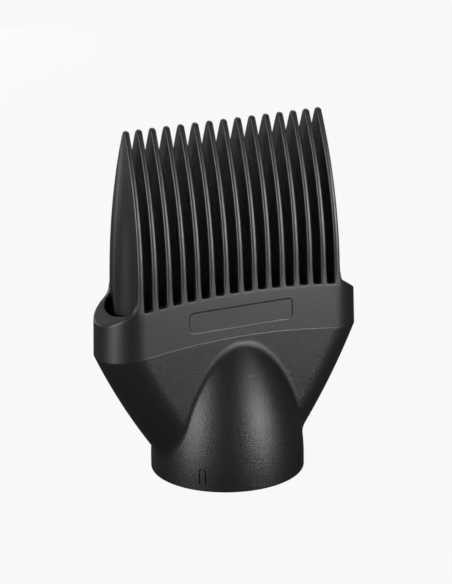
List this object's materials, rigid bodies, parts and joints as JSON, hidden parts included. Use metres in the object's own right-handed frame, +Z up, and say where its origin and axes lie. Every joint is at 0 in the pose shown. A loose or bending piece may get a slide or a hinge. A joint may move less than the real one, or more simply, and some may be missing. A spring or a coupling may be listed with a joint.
{
  "type": "hair dryer comb nozzle",
  "caption": "Comb nozzle for a hair dryer: a round push-on collar swells into a flat fan-shaped duct, and plate teeth across the duct's mouth part the hair in the air stream.",
  "frame": {"origin": "middle of the collar's rim, on the plane that the rim stands on", "axes": "+Z up along the collar's axis towards the tips of the teeth, +X along the row of teeth, +Y through the broad faces"},
  "size_m": [0.092, 0.051, 0.1182],
  "materials": {
    "plastic": "satin, black; fine matte grain below the seam"
  },
  "bodies": {
    "root": {"comb_nozzle": "plastic"}
  },
  "joints": []
}
